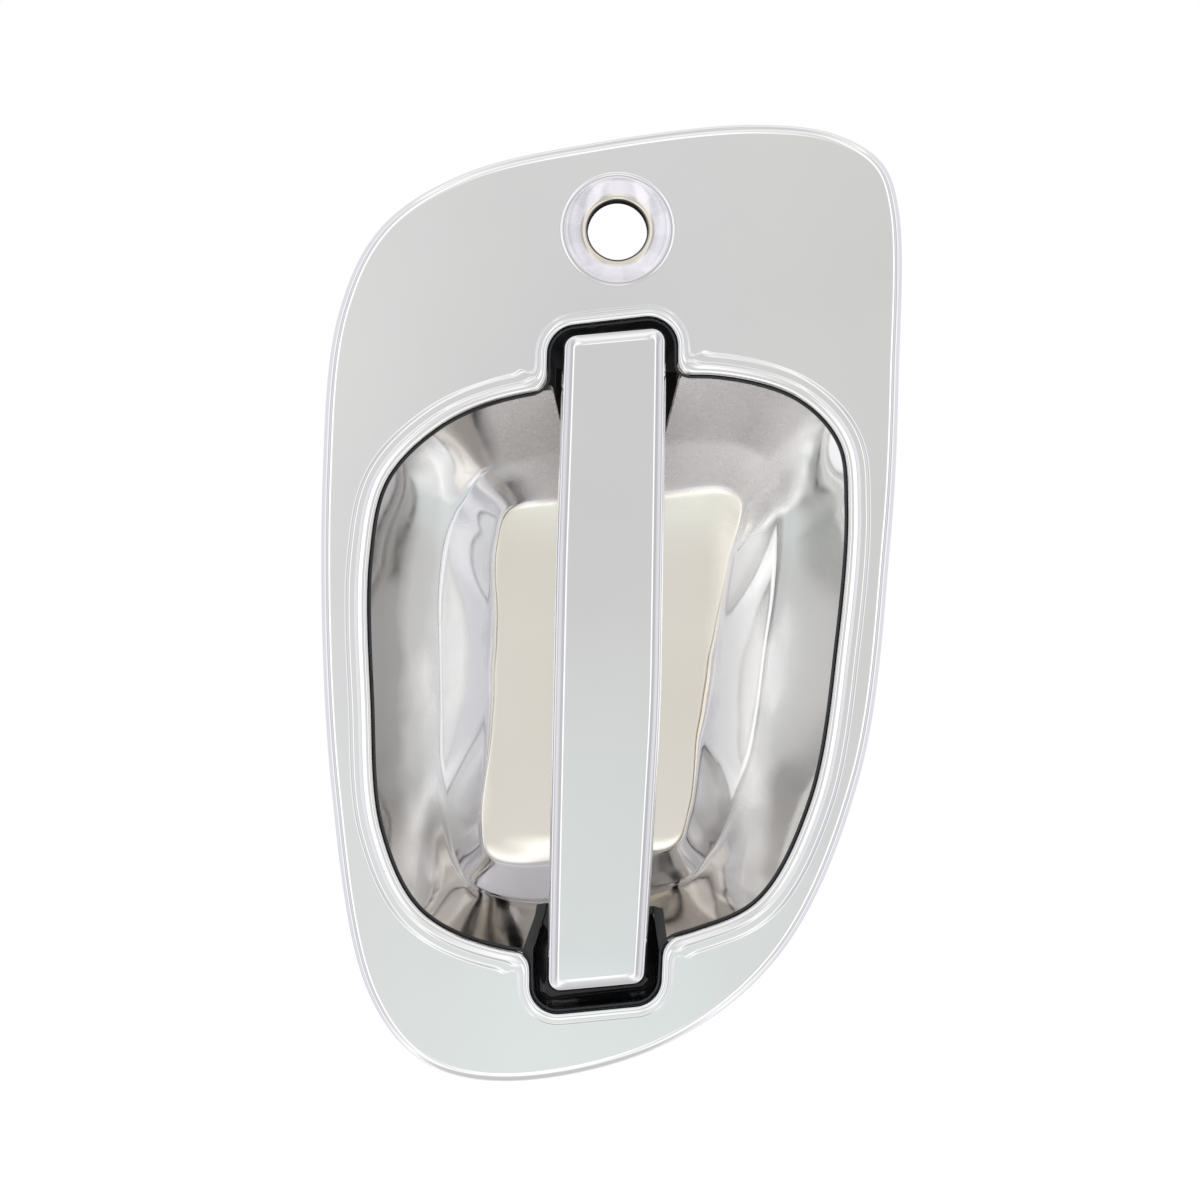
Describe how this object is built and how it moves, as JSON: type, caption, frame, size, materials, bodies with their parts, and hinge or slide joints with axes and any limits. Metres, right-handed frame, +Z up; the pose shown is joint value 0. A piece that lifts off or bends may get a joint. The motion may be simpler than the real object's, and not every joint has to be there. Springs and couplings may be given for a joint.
{
  "type": "door handle",
  "caption": "Exterior door handle: chromed face plate with a finger pocket, hinged vertical pull lever, lock opening, and a bell crank behind that moves a latch rod.",
  "frame": {"origin": "middle of the finger pocket on the plane of the door skin, which is the rear face of the gasket", "axes": "+X to the right seen from outside, +Z up along the lever, +Y into the door"},
  "size_m": [0.1673, 0.0721, 0.2816],
  "materials": {
    "plate_chrome": "bright chrome plate",
    "cup_chrome": "bright chrome plate, darker in the hollow",
    "lever_chrome": "bright chrome plate",
    "cast_chrome": "plated zinc casting, unpolished",
    "black_nylon": "glass-filled, fine moulded grain",
    "rubber": "matt",
    "zinc_plate": "bright zinc plate",
    "spring_steel": "oiled spring wire",
    "crank_steel": "yellow passivated zinc",
    "acetal": "natural acetal, satin"
  },
  "bodies": {
    "plate": {"bezel": "plate_chrome", "pocket_cup": "cup_chrome", "carrier": "black_nylon", "gasket": "rubber", "hinge_pin": "zinc_plate", "hinge_clip": "spring_steel", "crank_pin": "zinc_plate", "crank_clip": "spring_steel", "lever_spring": "spring_steel", "crank_spring": "spring_steel", "bumper_left": "rubber", "bumper_right": "rubber", "stud_1": "zinc_plate", "stud_2": "zinc_plate", "stud_3": "zinc_plate", "stud_4": "zinc_plate", "nut_1": "zinc_plate", "nut_2": "zinc_plate", "nut_3": "zinc_plate", "nut_4": "zinc_plate", "carrier_screw_1": "zinc_plate", "carrier_screw_2": "zinc_plate", "carrier_screw_3": "zinc_plate", "carrier_screw_4": "zinc_plate"},
    "lever": {"lever_cover": "lever_chrome", "lever_core": "cast_chrome", "lever_screw_upper": "zinc_plate", "lever_screw_lower": "zinc_plate", "push_pin": "zinc_plate", "hinge_bush_left": "acetal", "hinge_bush_right": "acetal"},
    "crank": {"bell_crank": "crank_steel", "rod_clip": "acetal"}
  },
  "joints": [
    {"name": "lever_open", "type": "hinge", "parent": "plate", "child": "lever", "pos_m": [0, 0.0125, -0.08], "axis": [1, 0, 0], "range_deg": [0, 10], "stiffness_Nm_per_rad": 1.5, "springref_deg": -28.65, "deforming": ["lever_spring"]},
    {"name": "crank_turn", "type": "hinge", "parent": "plate", "child": "crank", "pos_m": [0, 0.026, 0.107], "axis": [1, 0, 0], "range_deg": [-54, 0], "stiffness_Nm_per_rad": 0.05, "springref_deg": 34.38, "deforming": ["crank_spring"]}
  ],
  "couplings": [
    {"joint": "crank_turn", "follows": "lever_open", "ratio": -5.39}
  ]
}
